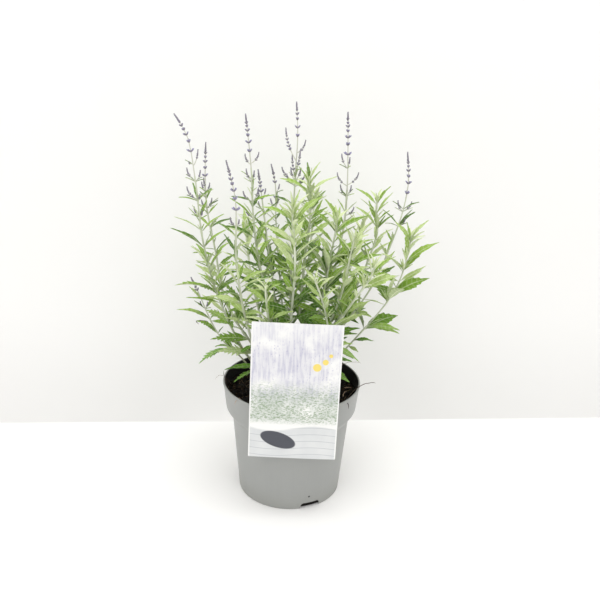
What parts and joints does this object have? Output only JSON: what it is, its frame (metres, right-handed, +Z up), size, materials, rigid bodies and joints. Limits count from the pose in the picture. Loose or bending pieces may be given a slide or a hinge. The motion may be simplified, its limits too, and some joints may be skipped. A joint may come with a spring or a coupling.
{
  "type": "potted russian sage",
  "caption": "Bushy sage with toothed grey-green leaves and slender lavender flower spikes, in a tapered round nursery pot with a picture label.",
  "frame": {"origin": "centre of the pot's flat underside, on the surface that it stands on", "axes": "+Z up along the pot's axis, -Y towards the side where the picture label hangs, +X to the right seen from that side"},
  "size_m": [0.272, 0.1888, 0.4257],
  "materials": {
    "pot": "satin",
    "soil": "matte",
    "label": "satin",
    "foliage": "matte",
    "flowers": "matte"
  },
  "bodies": {
    "root": {"flower_spike_01": "flowers", "flower_spike_02": "flowers", "flower_spike_03": "flowers", "flower_spike_04": "flowers", "flower_spike_05": "flowers", "flower_spike_06": "flowers", "flower_spike_07": "flowers", "flower_spike_08": "flowers", "flower_spike_09": "flowers", "flower_spike_18": "flowers", "label_card": "label", "label_stake": "label", "leafy_stem_01": "foliage", "leafy_stem_02": "foliage", "leafy_stem_03": "foliage", "leafy_stem_04": "foliage", "leafy_stem_05": "foliage", "leafy_stem_06": "foliage", "leafy_stem_07": "foliage", "leafy_stem_08": "foliage", "leafy_stem_09": "foliage", "leafy_stem_10": "foliage", "leafy_stem_11": "foliage", "leafy_stem_12": "foliage", "leafy_stem_13": "foliage", "leafy_stem_14": "foliage", "leafy_stem_15": "foliage", "leafy_stem_16": "foliage", "leafy_stem_17": "foliage", "leafy_stem_18": "foliage", "leafy_stem_19": "foliage", "leafy_stem_20": "foliage", "leafy_stem_21": "foliage", "leafy_stem_22": "foliage", "pot": "pot", "soil": "soil"}
  },
  "joints": []
}
